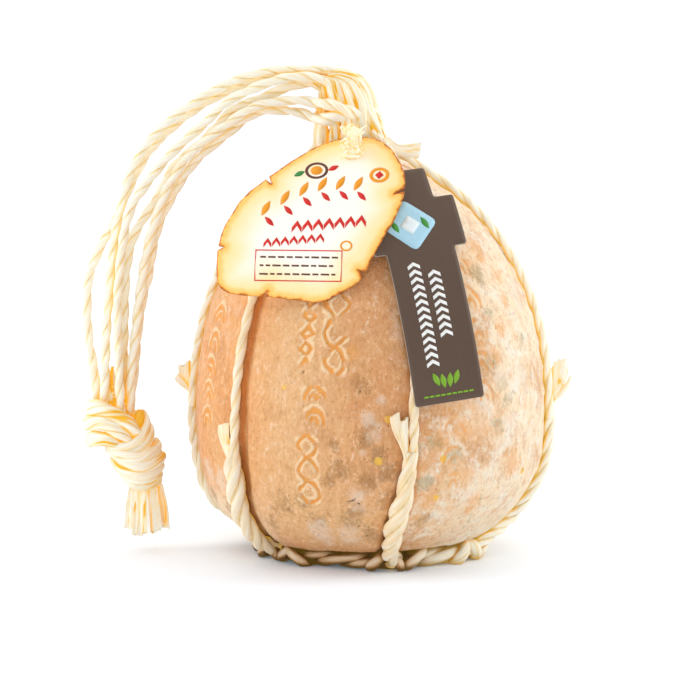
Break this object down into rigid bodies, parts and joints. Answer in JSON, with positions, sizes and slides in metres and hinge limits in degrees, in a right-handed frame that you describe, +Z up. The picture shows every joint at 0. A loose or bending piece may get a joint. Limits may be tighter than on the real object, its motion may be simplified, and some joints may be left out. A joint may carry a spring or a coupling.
{
  "type": "provolone cheese",
  "caption": "Pear-shaped provolone cheese in a twisted raffia net, on a cord ring, bound at the top, with free strands that end in a tasselled knot, a parchment tag and a card tag.",
  "frame": {"origin": "on the floor, on the flat foot of the cheese under its middle", "axes": "+Z up; -Y towards the front, where the tags hang; +X to the right seen from the front"},
  "size_m": [0.2364, 0.1804, 0.2368],
  "materials": {
    "rind": "waxy, dry cheese rind with bloom",
    "raffia": "twisted raffia, matt",
    "parchment": "printed paper with a scorched edge",
    "card": "printed card, matt"
  },
  "bodies": {
    "root": {"cheese": "rind", "base_ring": "raffia", "cord_left": "raffia", "tail_left": "raffia", "cord_left_front": "raffia", "tail_left_front": "raffia", "cord_front": "raffia", "tail_front": "raffia", "cord_right": "raffia", "tail_right": "raffia", "cord_back_right": "raffia", "tail_back_right": "raffia", "cord_back_left": "raffia", "tail_back_left": "raffia", "top_binding": "raffia", "strand_1": "raffia", "strand_2": "raffia", "strand_3": "raffia", "strand_4": "raffia", "strand_5": "raffia", "strand_6": "raffia", "end_knot": "raffia", "tassel_1": "raffia", "tassel_2": "raffia", "tassel_3": "raffia", "tassel_4": "raffia", "tassel_5": "raffia", "tassel_6": "raffia", "binding_end": "raffia", "parchment_tag": "parchment", "parchment_tie": "raffia", "card_tag": "card", "card_tie": "raffia"}
  },
  "joints": []
}
